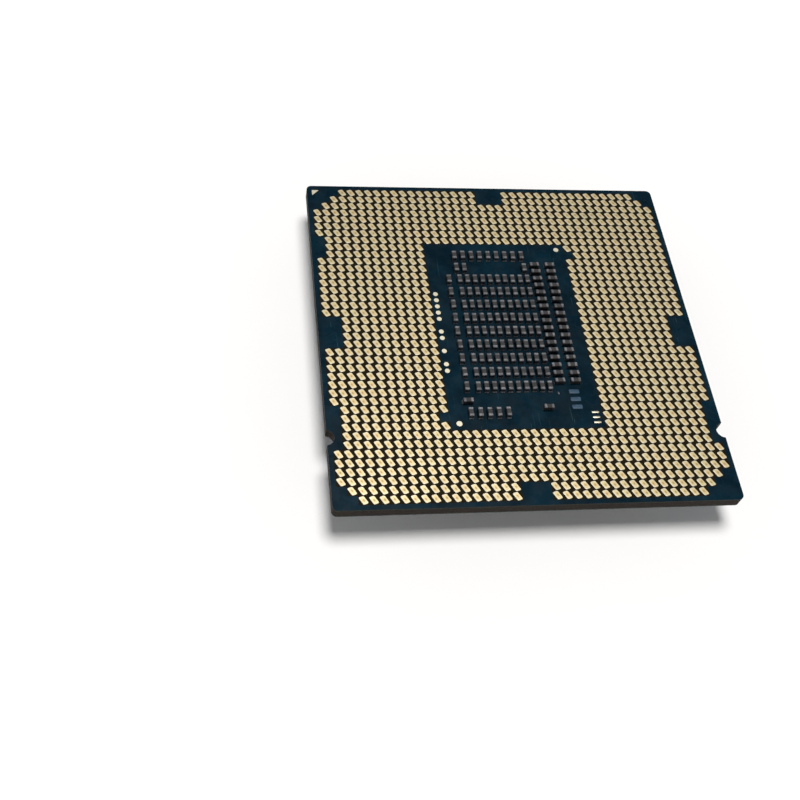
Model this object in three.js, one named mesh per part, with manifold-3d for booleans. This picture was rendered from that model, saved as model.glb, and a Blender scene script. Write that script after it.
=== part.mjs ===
// A desktop computer processor in a land-grid package, lying on its metal lid with its lands up.
//
// Millimetres, +Z up. The origin is the middle of the package on the lid's flat cooling face,
// +Z points out of the land side, and pin 1 is at the corner -X +Y. From z = 0 upwards come the
// lid, its sealant, the laminate (mask, build-up, core, build-up, mask), and the lands and
// capacitors. The die sits in the hollow of the lid, joined to the laminate by solder bumps.
import * as THREE from "three";
import { mergeVertices } from "three/addons/utils/BufferGeometryUtils.js";
import Module from "manifold-3d";

const wasm = await Module();
wasm.setup();

const { PI } = Math;
const ARC_STEPS = 6;

// ---------------------------------------------------------------- package outline
const PACKAGE_SIDE = 37.5;
const HALF_SIDE = PACKAGE_SIDE / 2;
const PACKAGE_CORNER_R = 0.5;
const NOTCH_Y = -11.5;
const NOTCH_R = 0.8;
const NOTCH_OUTSET = 0.1; // how far the notch's centre lies outside the edge

// ---------------------------------------------------------------- thicknesses, from the lid up
const LID_HEIGHT = 3.11;
const FLANGE_THICKNESS = 1.06;
const CAVITY_DEPTH = 0.8;
const SEALANT_THICKNESS = 0.1;
const MASK_THICKNESS = 0.03;
const BUILDUP_THICKNESS = 0.15;
const CORE_THICKNESS = 0.81;
const LAND_THICKNESS = 0.03;
const CAPACITOR_HEIGHT = 0.52;

const Z_SHOULDER = LID_HEIGHT - FLANGE_THICKNESS;
const Z_CAVITY = LID_HEIGHT - CAVITY_DEPTH;
const Z_LAMINATE = LID_HEIGHT + SEALANT_THICKNESS;
const Z_LID_BUILDUP = Z_LAMINATE + MASK_THICKNESS;
const Z_CORE = Z_LID_BUILDUP + BUILDUP_THICKNESS;
const Z_LAND_BUILDUP = Z_CORE + CORE_THICKNESS;
const Z_LAND_MASK = Z_LAND_BUILDUP + BUILDUP_THICKNESS;
const Z_LANDS = Z_LAND_MASK + MASK_THICKNESS;

// ---------------------------------------------------------------- lid
const LID_SHIFT_Y = 0.4; // the lid sits a little towards the pin 1 edge
const PLATEAU_HALF_X = 14.45;
const PLATEAU_HALF_Y = 14.5;
const PLATEAU_CORNER_R = 1.4;
const PLATEAU_BEVEL = 0.2;
const FLANGE_HALF_X = 15.3;
const FLANGE_HALF_Y = 16.15;
const FLANGE_CORNER_R = 1.2;
const EAR_HALF_X = 17.05; // the shoulders on which the socket's load plate presses
const EAR_HALF_LENGTH = 7.6;
const RECESS_HALF_WIDTH = 4.4;
const RECESS_HALF_Y = 14.65;
const SLOPE = 0.9; // run of the slanted step beside an ear or a recess
const CAVITY_HALF_X = 12.9;
const CAVITY_HALF_Y = 12.6;
const CAVITY_CORNER_R = 2;
const SEAL_OUTER = { halfX: 14.9, halfY: 14.2, r: 2.2 };
const SEAL_INNER = { halfX: 13.5, halfY: 13.1, r: 1.2 };
const VENT_HALF_WIDTH = 1.5;
const CUTTER_OVERRUN = 1; // how far a cutting solid runs past the open face

// ---------------------------------------------------------------- die and what holds it
const DIE_CENTRE_X = -0.6;
const DIE_HALF_X = 4.1;
const DIE_HALF_Y = 9.7;
const BUMP_HEIGHT = 0.07;
const BUMP_INSET = 0.25;
const PASTE_THICKNESS = 0.06;
const PASTE_SPREAD = 0.2;
const UNDERFILL_HEIGHT = 0.5;
const UNDERFILL_SPREAD = 0.8;

// ---------------------------------------------------------------- lands
const LAND_COUNT = 40; // positions along each side of the grid
const PITCH = 0.9144;
const FIRST_LAND = -((LAND_COUNT - 1) * PITCH) / 2;
const LAST = LAND_COUNT - 1;
const WINDOW = { firstCol: 12, lastCol: 27, firstRow: 8, lastRow: 31 };

// How many steps of lands each corner leaves out; columns count from -X, rows from +Y.
const CORNER_STEPS = { farLeft: 3, farRight: 2, nearLeft: 2, nearRight: 3 };

// Rectangles without lands: [first column, last column, first row, last row].
const LAND_GAPS = [
  [WINDOW.firstCol, WINDOW.lastCol, WINDOW.firstRow, WINDOW.lastRow],
  [19, 21, 0, 1],
  [18, 20, 38, 39],
  [0, 0, 7, 9],
  [0, 1, 18, 21],
  [38, 39, 18, 21],
  [0, 0, 29, 33],
  [39, 39, 29, 33],
  [28, 28, 9, 9],
  [11, 11, 30, 30],
];

// ---------------------------------------------------------------- capacitors and small marks
const CAPACITOR_LENGTH = 1.0;
const CAPACITOR_WIDTH = 0.5;
const STRIP_WIDTH = 0.24; // the strip that joins a row of capacitors under their bodies
const BLOCK_ROWS = 9;
const BLOCK_FIRST_Y = 6.22;
const BLOCK_ROW_PITCH = 1.59;
const BLOCK_FIRST_X = -4.22;
const BLOCK_PITCH = 0.769;
const BLOCK_COUNT = 10;
const BLOCK_OUTLIER_X = -5.32;
const COLUMN_XS = [3.77, 5.33];
const COLUMN_FIRST_Y = 8.07;
const COLUMN_PITCH = 0.877;
const COLUMN_COUNT = 17;
const FAR_ROW = { firstX: -4.39, pitch: 0.87, count: 9, y: 9.26 };
const PAIR = { firstX: -4.39, pitch: 0.81, count: 2, y: 7.69 };
const SINGLE = { firstX: 2.61, pitch: 0, count: 1, y: 7.69 };
const NEAR_ROW = { firstX: -5.32, pitch: 0.885, count: 5, y: -9.32 };
const LYING_LEFT = { x: -5.38, y: -8.01 };
const LYING_RIGHT = { x: 2.18, y: -8.82 };

const TEST_PAD_R = 0.26;
const TEST_PAD_X = -6.85;
const TEST_PAD_FIRST_Y = 4.55;
const TEST_PAD_PITCH = 0.757;
const TEST_PAD_STEPS = [0, 1, 2, 3, 4, 6, 7, 9, 11, 12];
const EDGE_PAD_R = 0.2;
const EDGE_PAD_STAGGER = 0.62;
const EDGE_PAD_ROWS = 3;
const EDGE_PAD_ROW_LENGTH = 27;
const EDGE_PAD_FIRST_Y = -18.0;
const EDGE_PAD_ROW_PITCH = 0.54;
const TRACE_WIDTH = 0.12;
const DISC_SIDES = 10;
const LAND_SIDE_PIN_1 = { x: -18.22, y: 18.13, legX: 0.7, legY: 0.7 };
const LID_SIDE_PIN_1 = { x: -18.25, y: 18.25, legX: 1.6, legY: 1.4 };
const FIDUCIAL_FAR_RIGHT = { x: 6.55, y: 10.32, r: 0.28 };
const FIDUCIAL_NEAR_LEFT = { x: -6.5, y: -10.32, r: 0.3 };
const FIDUCIAL_LID_SIDE = { x: -17.85, y: -17.85, r: 0.55 };
const COVERED_PAD = { x: 5.04, firstY: -6.99, pitch: 0.845, length: 1.0, width: 0.46, count: 3 };
const DASH = { x: 6.65, firstY: -9.3, pitch: 0.55, length: 0.7, width: 0.2, count: 3 };
const PAD_CLUSTER = { left: -18.1, right: -17.55, near: -14.0, far: -13.4 };
const INK_PATCH = { x: 0, y: 17.5, length: 13.7, width: 1.5 };

// ---------------------------------------------------------------- materials
function finish(color, roughness, metalness) {
  return new THREE.MeshStandardMaterial({ color, roughness, metalness });
}

const materials = {
  core: finish(0x4a3424, 0.8, 0),
  buildup: finish(0x1f3a33, 0.7, 0),
  mask: finish(0x0f2c3a, 0.35, 0),
  gold: finish(0xdcc48c, 0.35, 1),
  lid: finish(0xa9abb0, 0.45, 1),
  sealant: finish(0x111214, 0.6, 0),
  silicon: finish(0x4b4f58, 0.15, 0.6),
  solder: finish(0x8f9296, 0.4, 1),
  underfill: finish(0x20242c, 0.5, 0),
  paste: finish(0x9a9c9e, 0.7, 0),
  capacitor: finish(0x3b3431, 0.5, 0),
  ink: finish(0x0a0b0d, 0.5, 0),
};

// ---------------------------------------------------------------- closed solids and joining
function solidOf(geometry) {
  const bare = geometry.clone();
  bare.deleteAttribute("normal");
  bare.deleteAttribute("uv");
  const merged = mergeVertices(bare, 1e-5);
  return new wasm.Manifold(
    new wasm.Mesh({
      numProp: 3,
      vertProperties: merged.attributes.position.array,
      triVerts: new Uint32Array(merged.index.array),
    }),
  );
}

function geometryOf(solid) {
  const { vertProperties, triVerts } = solid.getMesh();
  const geometry = new THREE.BufferGeometry();
  geometry.setAttribute("position", new THREE.BufferAttribute(vertProperties, 3));
  geometry.setIndex(new THREE.BufferAttribute(triVerts, 1));
  geometry.computeVertexNormals();
  return geometry;
}

function joined(geometries) {
  return geometryOf(geometries.map(solidOf).reduce((all, next) => all.add(next)));
}

function plate(shape, thickness, z) {
  const geometry = new THREE.ExtrudeGeometry(shape, {
    depth: thickness,
    bevelEnabled: false,
    curveSegments: ARC_STEPS,
  });
  return geometry.translate(0, 0, z);
}

function block(centreX, centreY, sizeX, sizeY, sizeZ, z) {
  return new THREE.BoxGeometry(sizeX, sizeY, sizeZ).translate(centreX, centreY, z + sizeZ / 2);
}

// A flat slab between four edges, so that slabs which share an edge meet exactly.
function slab(x0, x1, y0, y1, thickness, z) {
  const shape = new THREE.Shape();
  shape.moveTo(x0, y0);
  shape.lineTo(x1, y0);
  shape.lineTo(x1, y1);
  shape.lineTo(x0, y1);
  return plate(shape, thickness, z);
}

function disc({ x, y, r }, thickness, z) {
  return new THREE.CylinderGeometry(r, r, thickness, DISC_SIDES)
    .rotateX(PI / 2)
    .translate(x, y, z + thickness / 2);
}

function mesh(name, geometry, material) {
  const made = new THREE.Mesh(geometry, material);
  made.name = name;
  return made;
}

// ---------------------------------------------------------------- outlines
function packageOutline() {
  const shape = new THREE.Shape();
  const c = HALF_SIDE - PACKAGE_CORNER_R;
  const notchX = HALF_SIDE + NOTCH_OUTSET;
  const opening = Math.acos(NOTCH_OUTSET / NOTCH_R);
  shape.absarc(-c, -c, PACKAGE_CORNER_R, PI, 1.5 * PI, false);
  shape.absarc(c, -c, PACKAGE_CORNER_R, 1.5 * PI, 2 * PI, false);
  shape.absarc(notchX, NOTCH_Y, NOTCH_R, PI + opening, PI - opening, true);
  shape.absarc(c, c, PACKAGE_CORNER_R, 0, 0.5 * PI, false);
  shape.absarc(-c, c, PACKAGE_CORNER_R, 0.5 * PI, PI, false);
  shape.absarc(-notchX, NOTCH_Y, NOTCH_R, opening, -opening, true);
  return shape;
}

function roundedRectangle(halfX, halfY, r) {
  const shape = new THREE.Shape();
  shape.absarc(-halfX + r, -halfY + r, r, PI, 1.5 * PI, false);
  shape.absarc(halfX - r, -halfY + r, r, 1.5 * PI, 2 * PI, false);
  shape.absarc(halfX - r, halfY - r, r, 0, 0.5 * PI, false);
  shape.absarc(-halfX + r, halfY - r, r, 0.5 * PI, PI, false);
  return shape;
}

// The flange under the plateau: an ear on each side, and a recess in the near and far edges.
function flangeOutline() {
  const x = FLANGE_HALF_X;
  const y = FLANGE_HALF_Y;
  const r = FLANGE_CORNER_R;
  const shape = new THREE.Shape();
  shape.absarc(-x + r, -y + r, r, PI, 1.5 * PI, false);
  shape.lineTo(-RECESS_HALF_WIDTH - SLOPE, -y);
  shape.lineTo(-RECESS_HALF_WIDTH, -RECESS_HALF_Y);
  shape.lineTo(RECESS_HALF_WIDTH, -RECESS_HALF_Y);
  shape.lineTo(RECESS_HALF_WIDTH + SLOPE, -y);
  shape.absarc(x - r, -y + r, r, 1.5 * PI, 2 * PI, false);
  shape.lineTo(x, -EAR_HALF_LENGTH - SLOPE);
  shape.lineTo(EAR_HALF_X, -EAR_HALF_LENGTH);
  shape.lineTo(EAR_HALF_X, EAR_HALF_LENGTH);
  shape.lineTo(x, EAR_HALF_LENGTH + SLOPE);
  shape.absarc(x - r, y - r, r, 0, 0.5 * PI, false);
  shape.lineTo(RECESS_HALF_WIDTH + SLOPE, y);
  shape.lineTo(RECESS_HALF_WIDTH, RECESS_HALF_Y);
  shape.lineTo(-RECESS_HALF_WIDTH, RECESS_HALF_Y);
  shape.lineTo(-RECESS_HALF_WIDTH - SLOPE, y);
  shape.absarc(-x + r, y - r, r, 0.5 * PI, PI, false);
  shape.lineTo(-x, EAR_HALF_LENGTH + SLOPE);
  shape.lineTo(-EAR_HALF_X, EAR_HALF_LENGTH);
  shape.lineTo(-EAR_HALF_X, -EAR_HALF_LENGTH);
  shape.lineTo(-x, -EAR_HALF_LENGTH - SLOPE);
  return shape;
}

// A bead that runs round the lid and stops short of itself, so that the hollow can breathe.
function sealantOutline() {
  const { halfX: ox, halfY: oy, r: outerR } = SEAL_OUTER;
  const { halfX: ix, halfY: iy, r: innerR } = SEAL_INNER;
  const gap = VENT_HALF_WIDTH;
  const shape = new THREE.Shape();
  shape.moveTo(gap, -oy);
  shape.absarc(ox - outerR, -oy + outerR, outerR, 1.5 * PI, 2 * PI, false);
  shape.absarc(ox - outerR, oy - outerR, outerR, 0, 0.5 * PI, false);
  shape.absarc(-ox + outerR, oy - outerR, outerR, 0.5 * PI, PI, false);
  shape.absarc(-ox + outerR, -oy + outerR, outerR, PI, 1.5 * PI, false);
  shape.lineTo(-gap, -oy);
  shape.lineTo(-gap, -iy);
  shape.absarc(-ix + innerR, -iy + innerR, innerR, 1.5 * PI, PI, true);
  shape.absarc(-ix + innerR, iy - innerR, innerR, PI, 0.5 * PI, true);
  shape.absarc(ix - innerR, iy - innerR, innerR, 0.5 * PI, 0, true);
  shape.absarc(ix - innerR, -iy + innerR, innerR, 0, -0.5 * PI, true);
  shape.lineTo(gap, -iy);
  return shape;
}

// ---------------------------------------------------------------- lid and sealant
function lidGeometry() {
  const plateau = new THREE.ExtrudeGeometry(
    roundedRectangle(PLATEAU_HALF_X, PLATEAU_HALF_Y, PLATEAU_CORNER_R),
    {
      depth: Z_SHOULDER,
      bevelThickness: PLATEAU_BEVEL,
      bevelSize: PLATEAU_BEVEL,
      bevelOffset: -PLATEAU_BEVEL,
      bevelSegments: 2,
      curveSegments: ARC_STEPS,
    },
  ).translate(0, 0, PLATEAU_BEVEL);
  const flange = plate(flangeOutline(), FLANGE_THICKNESS, Z_SHOULDER);
  const hollow = plate(
    roundedRectangle(CAVITY_HALF_X, CAVITY_HALF_Y, CAVITY_CORNER_R),
    CAVITY_DEPTH + CUTTER_OVERRUN,
    Z_CAVITY,
  );
  const lid = solidOf(plateau).add(solidOf(flange)).subtract(solidOf(hollow));
  return geometryOf(lid).translate(0, LID_SHIFT_Y, 0);
}

function addLid(group) {
  group.add(mesh("heat_spreader_lid", lidGeometry(), materials.lid));
  const bead = plate(sealantOutline(), SEALANT_THICKNESS, LID_HEIGHT);
  group.add(mesh("lid_sealant_bead", bead.translate(0, LID_SHIFT_Y, 0), materials.sealant));
}

// ---------------------------------------------------------------- laminate
function addLaminate(group) {
  const outline = packageOutline();
  const layers = [
    ["solder_mask_lid_side", MASK_THICKNESS, Z_LAMINATE, materials.mask],
    ["buildup_layers_lid_side", BUILDUP_THICKNESS, Z_LID_BUILDUP, materials.buildup],
    ["laminate_core", CORE_THICKNESS, Z_CORE, materials.core],
    ["buildup_layers_land_side", BUILDUP_THICKNESS, Z_LAND_BUILDUP, materials.buildup],
    ["solder_mask_land_side", MASK_THICKNESS, Z_LAND_MASK, materials.mask],
  ];
  for (const [name, thickness, z, material] of layers) {
    group.add(mesh(name, plate(outline, thickness, z), material));
  }
}

// ---------------------------------------------------------------- die, bumps, underfill, paste
function tapered(halfX, halfY, spread, height) {
  const geometry = new THREE.BoxGeometry(2 * halfX, 2 * halfY, height);
  const position = geometry.attributes.position;
  for (let i = 0; i < position.count; i += 1) {
    if (position.getZ(i) > 0) {
      position.setX(i, position.getX(i) + Math.sign(position.getX(i)) * spread);
      position.setY(i, position.getY(i) + Math.sign(position.getY(i)) * spread);
    }
  }
  return geometry;
}

function addDie(group) {
  const zBumps = Z_LAMINATE - BUMP_HEIGHT;
  const zDie = Z_CAVITY + PASTE_THICKNESS;
  const width = 2 * DIE_HALF_X;
  const length = 2 * DIE_HALF_Y;
  const die = block(DIE_CENTRE_X, 0, width, length, zBumps - zDie, zDie);
  const field = 2 * BUMP_INSET;
  const bumps = block(DIE_CENTRE_X, 0, width - field, length - field, BUMP_HEIGHT, zBumps);
  const paste = block(
    DIE_CENTRE_X,
    0,
    width + 2 * PASTE_SPREAD,
    length + 2 * PASTE_SPREAD,
    PASTE_THICKNESS,
    Z_CAVITY,
  );
  const wedge = tapered(DIE_HALF_X, DIE_HALF_Y, UNDERFILL_SPREAD, UNDERFILL_HEIGHT);
  wedge.translate(DIE_CENTRE_X, 0, Z_LAMINATE - UNDERFILL_HEIGHT / 2);
  const ring = solidOf(wedge).subtract(solidOf(die)).subtract(solidOf(bumps));
  group.add(mesh("silicon_die", die, materials.silicon));
  group.add(mesh("solder_bump_field", bumps, materials.solder));
  group.add(mesh("die_underfill", geometryOf(ring), materials.underfill));
  group.add(mesh("thermal_interface_paste", paste, materials.paste));
}

// ---------------------------------------------------------------- lands
function isLand(col, row) {
  const fromRight = LAST - col;
  const fromNear = LAST - row;
  const cornerCut =
    col + row < CORNER_STEPS.farLeft ||
    fromRight + row < CORNER_STEPS.farRight ||
    col + fromNear < CORNER_STEPS.nearLeft ||
    fromRight + fromNear < CORNER_STEPS.nearRight;
  const inGap = LAND_GAPS.some(
    ([c0, c1, r0, r1]) => col >= c0 && col <= c1 && row >= r0 && row <= r1,
  );
  return !cornerCut && !inGap;
}

// The stretches of neighbouring lands in one row, as [first column, last column].
function landRuns(row, firstCol, lastCol) {
  const runs = [];
  for (let col = firstCol; col <= lastCol; col += 1) {
    const open = runs.at(-1);
    if (!isLand(col, row)) continue;
    if (open && open[1] === col - 1) open[1] = col;
    else runs.push([col, col]);
  }
  return runs;
}

// Where one land's cell ends and the next begins, counted from the first column or row.
function cellEdge(index) {
  return FIRST_LAND + (index - 0.5) * PITCH;
}

// One field of lands as a gold plate with the field's stepped outline.
function landField(firstCol, lastCol, firstRow, lastRow) {
  const strips = [];
  for (let row = firstRow; row <= lastRow; row += 1) {
    const nearEdge = -cellEdge(row + 1);
    const farEdge = -cellEdge(row);
    for (const [from, to] of landRuns(row, firstCol, lastCol)) {
      const leftEdge = cellEdge(from);
      const rightEdge = cellEdge(to + 1);
      strips.push(slab(leftEdge, rightEdge, nearEdge, farEdge, LAND_THICKNESS, Z_LANDS));
    }
  }
  return joined(strips);
}

function addLands(group) {
  const { firstCol, lastCol, firstRow, lastRow } = WINDOW;
  const fields = {
    land_field_far: [0, LAST, 0, firstRow - 1],
    land_field_left: [0, firstCol - 1, firstRow, lastRow],
    land_field_right: [lastCol + 1, LAST, firstRow, lastRow],
    land_field_near: [0, LAST, lastRow + 1, LAST],
  };
  for (const [name, limits] of Object.entries(fields)) {
    group.add(mesh(name, landField(...limits), materials.gold));
  }
}

// ---------------------------------------------------------------- capacitors
function evenly(first, pitch, count) {
  return Array.from({ length: count }, (_, i) => first + i * pitch);
}

// A row along X of capacitors that stand along Y, on the strip that joins them.
function capacitorRow(xs, y) {
  const bodies = xs.map((x) =>
    block(x, y, CAPACITOR_WIDTH, CAPACITOR_LENGTH, CAPACITOR_HEIGHT, Z_LANDS),
  );
  const middle = (xs[0] + xs.at(-1)) / 2;
  const length = xs.at(-1) - xs[0] + CAPACITOR_WIDTH;
  const strip = block(middle, y, length, STRIP_WIDTH, LAND_THICKNESS, Z_LANDS);
  return joined([strip, ...bodies]);
}

// A column along Y of capacitors that lie along X.
function capacitorColumn(x, ys) {
  const bodies = ys.map((y) =>
    block(x, y, CAPACITOR_LENGTH, CAPACITOR_WIDTH, CAPACITOR_HEIGHT, Z_LANDS),
  );
  const middle = (ys[0] + ys.at(-1)) / 2;
  const length = Math.abs(ys.at(-1) - ys[0]) + CAPACITOR_WIDTH;
  const strip = block(x, middle, STRIP_WIDTH, length, LAND_THICKNESS, Z_LANDS);
  return joined([strip, ...bodies]);
}

function addCapacitors(group) {
  const add = (name, geometry) => group.add(mesh(name, geometry, materials.capacitor));
  const rows = {
    capacitor_row_far: FAR_ROW,
    capacitor_pair_far: PAIR,
    capacitor_single_far: SINGLE,
    capacitor_row_near: NEAR_ROW,
  };
  for (const [name, { firstX, pitch, count, y }] of Object.entries(rows)) {
    add(name, capacitorRow(evenly(firstX, pitch, count), y));
  }
  const blockXs = [BLOCK_OUTLIER_X, ...evenly(BLOCK_FIRST_X, BLOCK_PITCH, BLOCK_COUNT)];
  for (let i = 0; i < BLOCK_ROWS; i += 1) {
    const y = BLOCK_FIRST_Y - i * BLOCK_ROW_PITCH;
    add(`capacitor_block_row_${i + 1}`, capacitorRow(blockXs, y));
  }
  const columnYs = evenly(COLUMN_FIRST_Y, -COLUMN_PITCH, COLUMN_COUNT);
  add("capacitor_column_inner", capacitorColumn(COLUMN_XS[0], columnYs));
  add("capacitor_column_outer", capacitorColumn(COLUMN_XS[1], columnYs));
  add("capacitor_lying_left", capacitorColumn(LYING_LEFT.x, [LYING_LEFT.y]));
  add("capacitor_lying_right", capacitorColumn(LYING_RIGHT.x, [LYING_RIGHT.y]));
}

// ---------------------------------------------------------------- pads and marks
// A triangle in the corner -X +Y, its legs along the two edges.
function triangle({ x, y, legX, legY }, z) {
  const shape = new THREE.Shape();
  shape.moveTo(x, y);
  shape.lineTo(x, y - legY);
  shape.lineTo(x + legX, y);
  return plate(shape, LAND_THICKNESS, z);
}

// Round pads joined by the thin trace that runs under them.
function padString(points, r, z) {
  const discs = points.map(([x, y]) => disc({ x, y, r }, LAND_THICKNESS, z));
  const traces = points.slice(1).map(([x, y], i) => {
    const [fromX, fromY] = points[i];
    const run = Math.hypot(x - fromX, y - fromY);
    const trace = new THREE.BoxGeometry(run, TRACE_WIDTH, LAND_THICKNESS);
    trace.rotateZ(Math.atan2(y - fromY, x - fromX));
    return trace.translate((x + fromX) / 2, (y + fromY) / 2, z + LAND_THICKNESS / 2);
  });
  return joined([...discs, ...traces]);
}

function addLandSideMarks(group) {
  const add = (name, geometry) => group.add(mesh(name, geometry, materials.gold));
  add("pin_1_mark_land_side", triangle(LAND_SIDE_PIN_1, Z_LANDS));
  add("fiducial_far_right", disc(FIDUCIAL_FAR_RIGHT, LAND_THICKNESS, Z_LANDS));
  add("fiducial_near_left", disc(FIDUCIAL_NEAR_LEFT, LAND_THICKNESS, Z_LANDS));
  const ys = TEST_PAD_STEPS.map((step) => TEST_PAD_FIRST_Y - step * TEST_PAD_PITCH);
  const points = ys.map((y) => [TEST_PAD_X, y]);
  add("test_pads_land_side", padString(points, TEST_PAD_R, Z_LANDS));
  evenly(COVERED_PAD.firstY, -COVERED_PAD.pitch, COVERED_PAD.count).forEach((y, i) => {
    const { x, length, width } = COVERED_PAD;
    const pad = block(x, y, length, width, LAND_THICKNESS, Z_LANDS);
    group.add(mesh(`covered_pad_${i + 1}`, pad, materials.mask));
  });
  const dashYs = evenly(DASH.firstY, -DASH.pitch, DASH.count);
  const dashes = dashYs.map((y) =>
    block(DASH.x, y, DASH.length, DASH.width, LAND_THICKNESS, Z_LANDS),
  );
  const spineLength = dashYs[0] - dashYs.at(-1);
  const spineY = (dashYs[0] + dashYs.at(-1)) / 2;
  const spine = block(DASH.x, spineY, TRACE_WIDTH, spineLength, LAND_THICKNESS, Z_LANDS);
  add("alignment_dashes", joined([spine, ...dashes]));
}

// Pads on the lid side hang under the mask.
function addLidSideMarks(group) {
  const z = Z_LAMINATE - LAND_THICKNESS;
  const add = (name, geometry) => group.add(mesh(name, geometry, materials.gold));
  add("pin_1_mark_lid_side", triangle(LID_SIDE_PIN_1, z));
  add("fiducial_lid_side", disc(FIDUCIAL_LID_SIDE, LAND_THICKNESS, z));
  const { left, right, near, far } = PAD_CLUSTER;
  const cluster = [
    [left, near],
    [right, near],
    [right, far],
    [left, far],
  ];
  add("test_pad_cluster_lid_side", padString(cluster, EDGE_PAD_R, z));
  for (let row = 0; row < EDGE_PAD_ROWS; row += 1) {
    const x = (row % 2) * (EDGE_PAD_STAGGER / 2);
    const y = EDGE_PAD_FIRST_Y + row * EDGE_PAD_ROW_PITCH;
    const strip = block(x, y, EDGE_PAD_ROW_LENGTH, 2 * EDGE_PAD_R, LAND_THICKNESS, z);
    add(`test_pad_row_lid_side_${row + 1}`, strip);
  }
  const ink = block(INK_PATCH.x, INK_PATCH.y, INK_PATCH.length, INK_PATCH.width, LAND_THICKNESS, z);
  group.add(mesh("ink_patch_lid_side", ink, materials.ink));
}

// ---------------------------------------------------------------- the processor
const processor = new THREE.Group();
addLid(processor);
addLaminate(processor);
addDie(processor);
addLands(processor);
addCapacitors(processor);
addLandSideMarks(processor);
addLidSideMarks(processor);

export default processor;
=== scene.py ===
# %% [markdown]
# A desktop processor lies on its metal lid with its gold lands up. This lesson dresses the plain
# CAD model of it: the CAD gives every place and size, and Blender adds the small shapes and the
# finishes. The CAD pieces are loaded first as a fixed frame. They are never moved. Where a piece
# needs a finer shape, a new one is modelled in its place and the CAD one is hidden.

import math
import random

import bpy
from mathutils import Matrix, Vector


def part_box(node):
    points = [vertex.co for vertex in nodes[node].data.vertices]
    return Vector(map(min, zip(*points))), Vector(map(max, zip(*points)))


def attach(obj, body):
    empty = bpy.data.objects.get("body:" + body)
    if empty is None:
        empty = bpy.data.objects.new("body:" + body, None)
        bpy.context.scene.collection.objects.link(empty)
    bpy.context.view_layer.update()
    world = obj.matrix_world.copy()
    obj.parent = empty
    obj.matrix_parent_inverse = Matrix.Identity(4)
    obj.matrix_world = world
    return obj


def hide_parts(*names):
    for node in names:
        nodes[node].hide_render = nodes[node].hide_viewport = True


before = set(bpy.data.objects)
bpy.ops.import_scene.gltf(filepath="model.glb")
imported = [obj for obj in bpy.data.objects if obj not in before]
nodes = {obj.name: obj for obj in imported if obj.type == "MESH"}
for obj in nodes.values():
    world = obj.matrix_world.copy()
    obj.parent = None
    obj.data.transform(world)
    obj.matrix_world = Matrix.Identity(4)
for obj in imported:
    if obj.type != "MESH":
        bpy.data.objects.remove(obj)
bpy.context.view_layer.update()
MM = 0.001
print("CAD nodes:", len(nodes))

# %% [markdown]
# The camera stands at the front left, about fifty degrees above the table, as a person looks at a
# chip held under a lamp. The place is measured from the middle of the plane of the lands, so the
# camera goes with the part if its thickness ever changes. A very small shift of the lens sets the
# slant of the edges without turning the camera.

# %% Camera
LAND_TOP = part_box("land_field_near")[1].z
CAMERA_OFFSET = Vector((-29.776, -60.87, 84.793)) * MM
CAMERA_TURN = [math.radians(angle) for angle in (34.143, -6.835, -5.239)]
LENS = 49.85
LENS_SHIFT = (0.04, -0.04)

bpy.ops.object.select_all(action="DESELECT")
bpy.ops.object.camera_add(location=CAMERA_OFFSET + Vector((0, 0, LAND_TOP)), rotation=CAMERA_TURN)
camera = bpy.context.object
camera.name = "table_camera"
camera.data.lens = LENS
camera.data.shift_x, camera.data.shift_y = LENS_SHIFT
camera.data.clip_start = 1 * MM
camera.data.clip_end = 20
bpy.context.scene.camera = camera
print("camera height in mm:", round(camera.location.z / MM, 1))

# %% [markdown]
# The light is a plain soft one. A wide sun lamp hangs almost straight above and a little behind,
# so that every land catches it and the sides that face the camera stay dark. Being a sun, it
# lights the whole floor evenly. The sky is pale low down, like paper round a table, and dim
# overhead, which keeps the dark lacquer dark. The view transform is Standard, so that the pale
# floor stays pale.

# %% Floor, lamp and sky
FLOOR_SIZE = 6.0
SUN_FROM = Vector((0.05, 0.15, 1.0))
SUN_WIDTH = math.radians(24)
SUN_STRENGTH = 2.7
SUN_COLOUR = (1.0, 0.985, 0.965)
SKY_LOW = (0.84, 0.84, 0.84, 1.0)
SKY_OVERHEAD = (0.08, 0.08, 0.08, 1.0)
FADE_START = 0.37
FADE_END = 0.62

bpy.ops.object.light_add(type="SUN", location=SUN_FROM)
sun = bpy.context.object
sun.name = "soft_sun"
sun.rotation_euler = SUN_FROM.to_track_quat("Z", "Y").to_euler()
sun.data.angle = SUN_WIDTH
sun.data.energy = SUN_STRENGTH
sun.data.color = SUN_COLOUR

sky = bpy.data.worlds.new("pale_sky")
sky.use_nodes = True
direction = sky.node_tree.nodes.new("ShaderNodeTexCoord")
height = sky.node_tree.nodes.new("ShaderNodeSeparateXYZ")
fade = sky.node_tree.nodes.new("ShaderNodeValToRGB")
low_stop, high_stop = fade.color_ramp.elements
low_stop.color = SKY_LOW
low_stop.position = FADE_START
high_stop.color = SKY_OVERHEAD
high_stop.position = FADE_END
sky.node_tree.links.new(direction.outputs["Generated"], height.inputs[0])
sky.node_tree.links.new(height.outputs["Z"], fade.inputs["Fac"])
sky.node_tree.links.new(fade.outputs["Color"], sky.node_tree.nodes["Background"].inputs["Color"])
bpy.context.scene.world = sky
bpy.context.scene.view_settings.view_transform = "Standard"
bpy.ops.mesh.primitive_plane_add(size=FLOOR_SIZE, location=(0, 0, 0))
floor = bpy.context.object
floor.name = "pale_floor"

# %% [markdown]
# Each finish is one material. It could be built by hand in the node editor, but a small helper
# makes the same nodes in a line each, and all patterns then share one ruler: the piece's own
# Object coordinates, turned into millimetres. What is the same all over a surface is set straight
# on the shader, and only what changes from place to place comes from nodes.

# %% A finish and its nodes
# The colour sockets of a Mix node, by number: its sockets for numbers have the same names.
MIX_A, MIX_B, MIX_COLOUR = 6, 7, 2


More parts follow.
